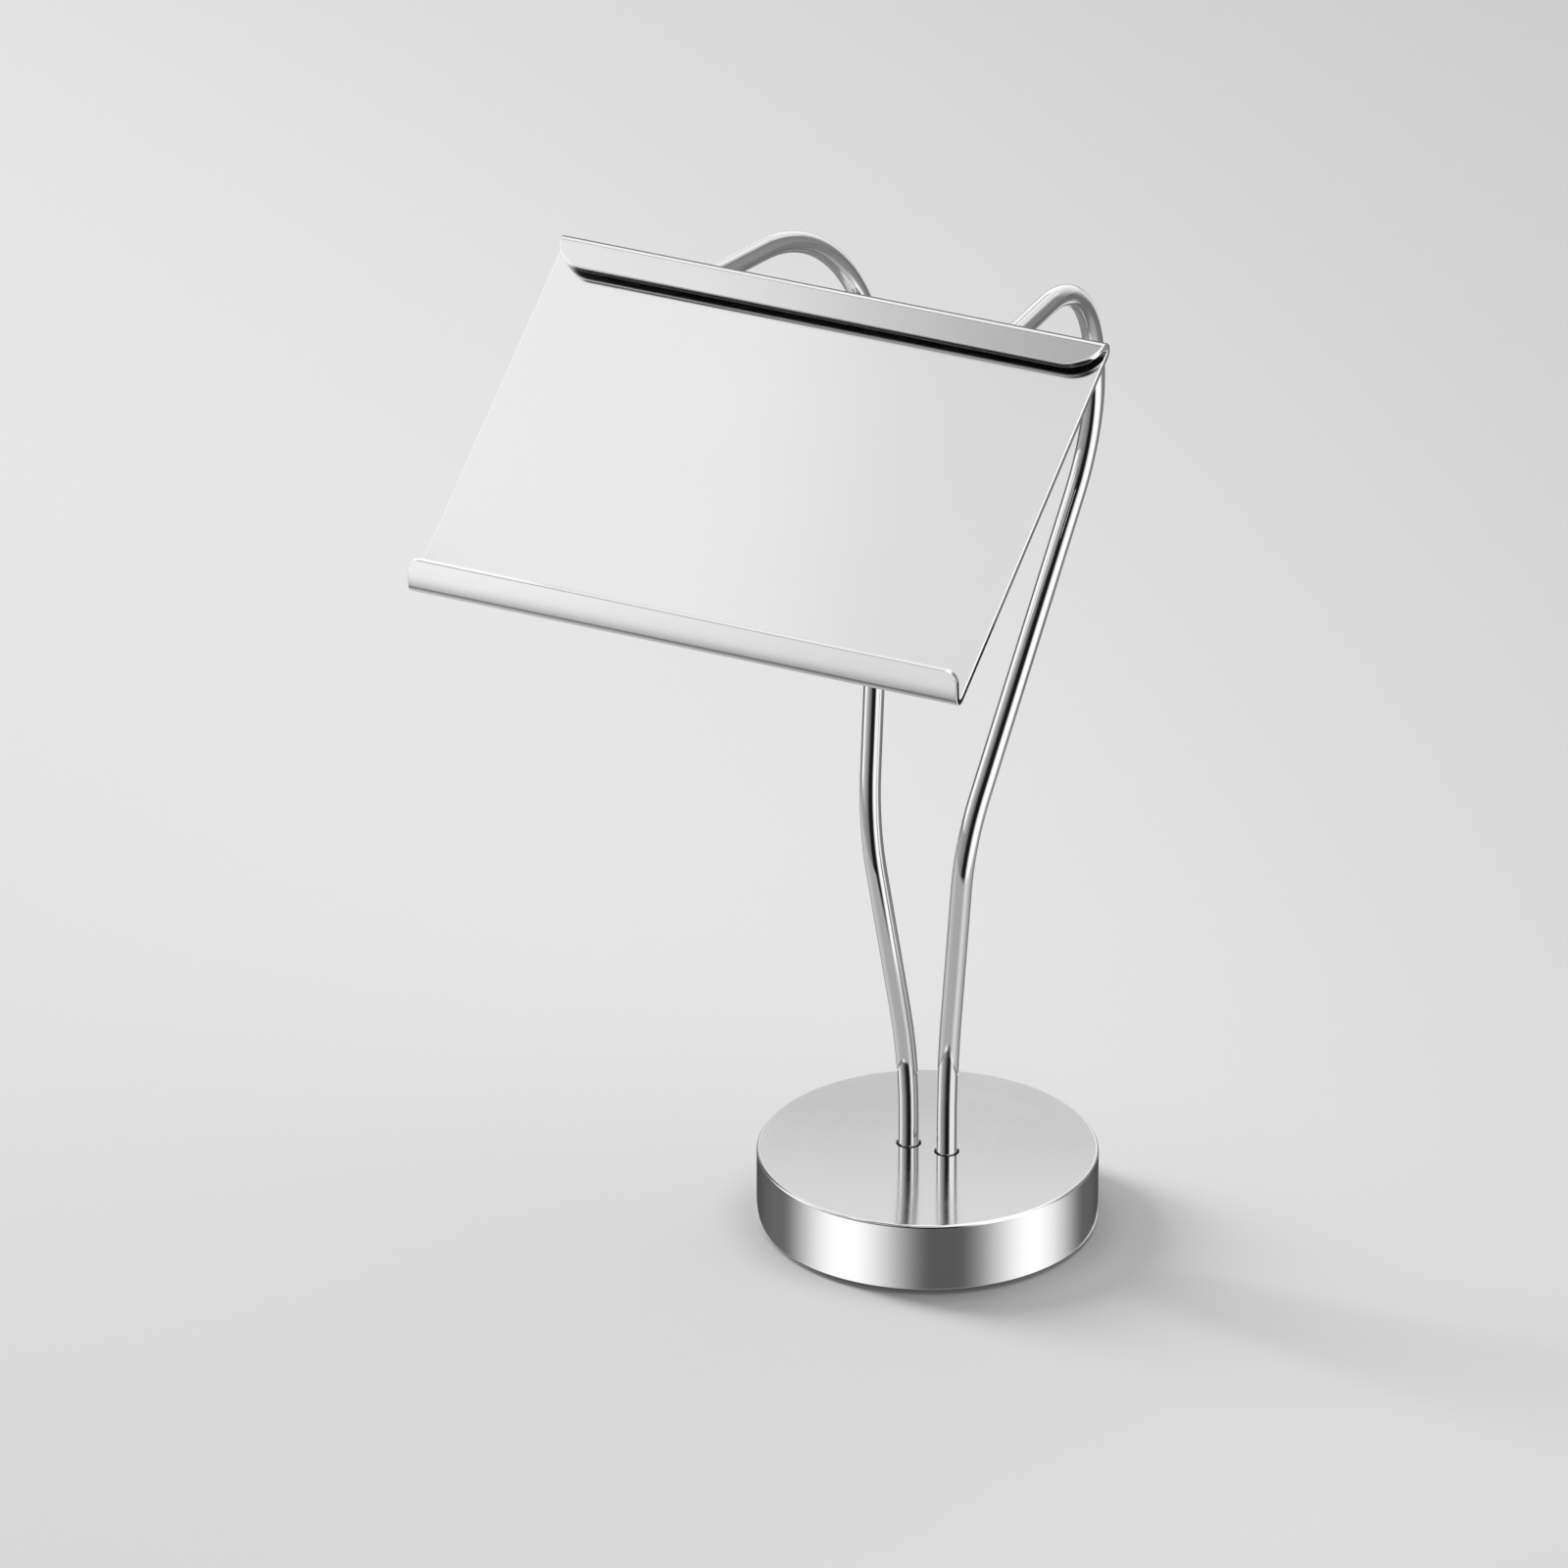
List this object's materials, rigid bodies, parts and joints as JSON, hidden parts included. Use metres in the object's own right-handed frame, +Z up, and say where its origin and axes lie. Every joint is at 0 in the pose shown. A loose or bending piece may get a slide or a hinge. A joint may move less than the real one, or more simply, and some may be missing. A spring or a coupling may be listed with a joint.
{
  "type": "menu holder",
  "caption": "Free-standing menu holder: a tilted polished sheet with folded lips holds a card, carried by bent rods that rise from a heavy round base and hook over behind the sheet.",
  "frame": {"origin": "centre of the pad's underside, on the table and on the base disc's axis", "axes": "+Z up along the base disc's axis, -Y to the front where the card faces, +X to the right seen from the front"},
  "size_m": [0.22, 0.2755, 0.4201],
  "materials": {
    "polished_disc": "mirror polished",
    "polished_rod": "mirror polished",
    "polished_sheet": "mirror polished",
    "zinc_fastener": "zinc plated",
    "dressed_weld": "dressed and polished",
    "pad_rubber": "matt"
  },
  "bodies": {
    "root": {"base_disc": "polished_disc", "base_pad": "pad_rubber", "rod_left": "polished_rod", "rod_right": "polished_rod", "menu_plate": "polished_sheet", "rod_screw_left": "zinc_fastener", "rod_screw_right": "zinc_fastener", "rod_washer_left": "zinc_fastener", "rod_washer_right": "zinc_fastener", "lock_washer_left": "zinc_fastener", "lock_washer_right": "zinc_fastener", "weld_left_lower_inner": "dressed_weld", "weld_left_lower_outer": "dressed_weld", "weld_left_upper_inner": "dressed_weld", "weld_left_upper_outer": "dressed_weld", "weld_right_lower_inner": "dressed_weld", "weld_right_lower_outer": "dressed_weld", "weld_right_upper_inner": "dressed_weld", "weld_right_upper_outer": "dressed_weld"}
  },
  "joints": []
}
